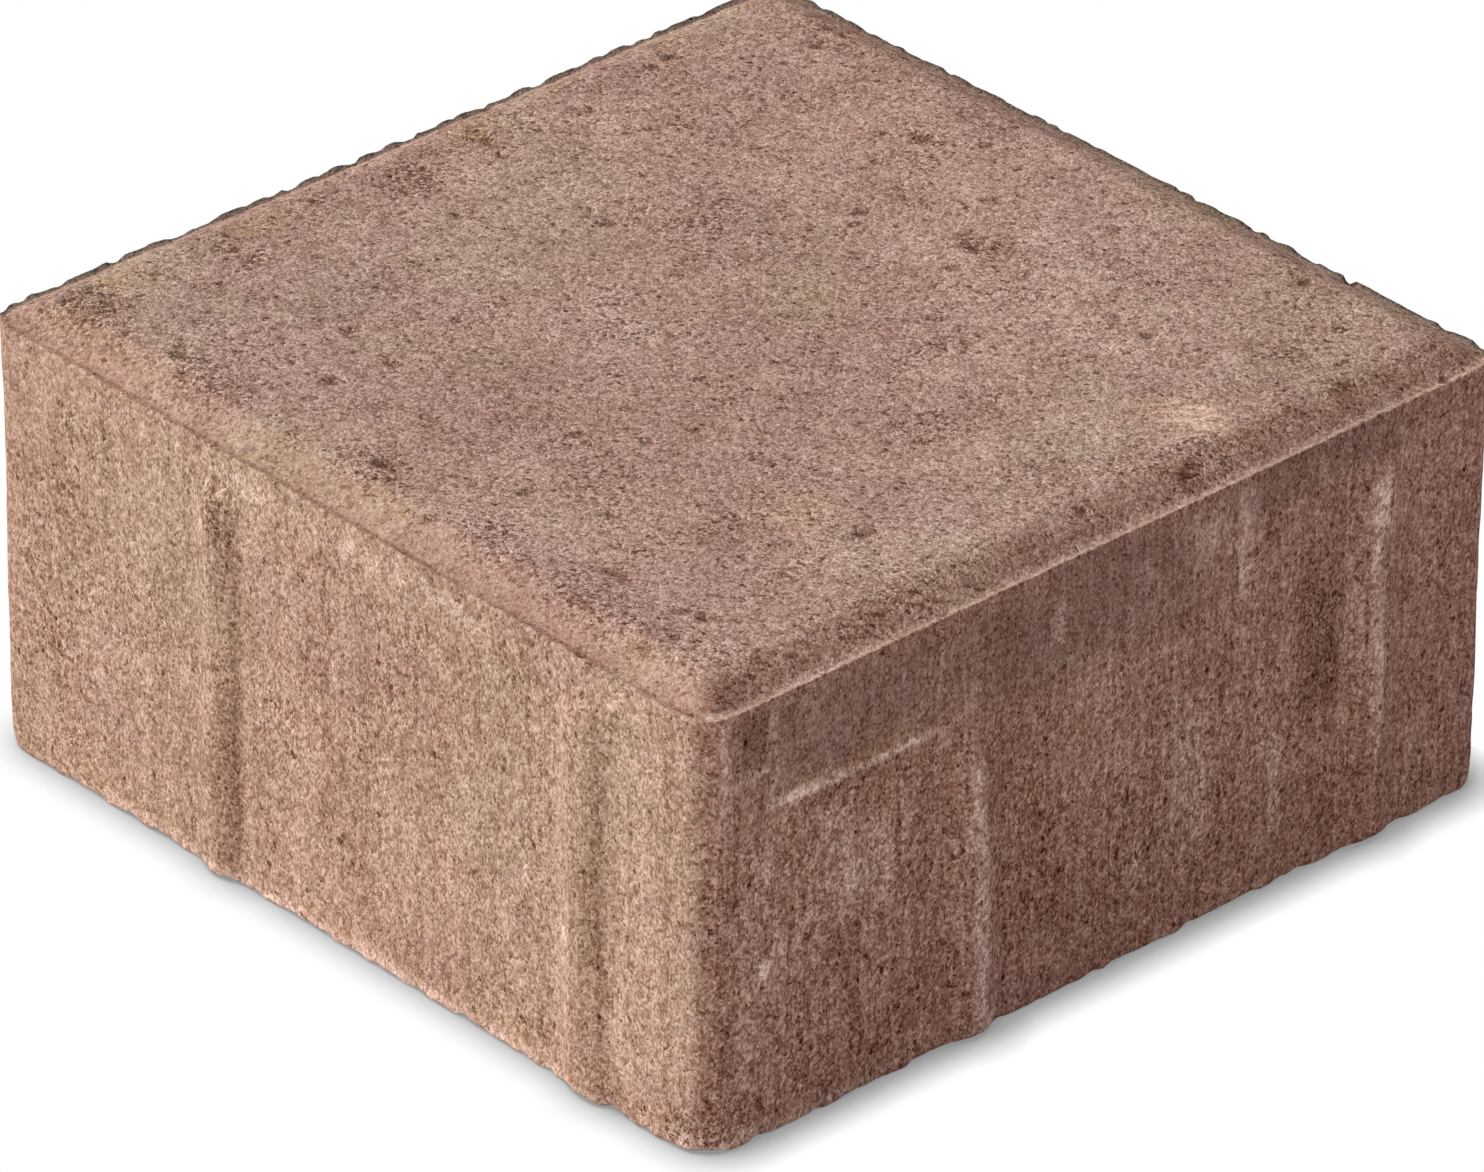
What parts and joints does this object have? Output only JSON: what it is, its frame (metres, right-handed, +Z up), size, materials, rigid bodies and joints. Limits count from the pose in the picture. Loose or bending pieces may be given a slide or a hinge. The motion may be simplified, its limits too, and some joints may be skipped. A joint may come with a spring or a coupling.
{
  "type": "concrete paver",
  "caption": "Thick square paving block of reddish concrete with a chamfered top, a narrow ledge at the chamfer's foot and upright spacer ribs on its sides.",
  "frame": {"origin": "middle of the underside", "axes": "+Z up through the chamfered wearing face; X and Y square to the four sides"},
  "size_m": [0.1694, 0.1694, 0.08],
  "materials": {
    "concrete": "matt, open-grained pressed concrete, reddish brown with faint ochre and purple patches"
  },
  "bodies": {
    "root": {"paver": "concrete"}
  },
  "joints": []
}
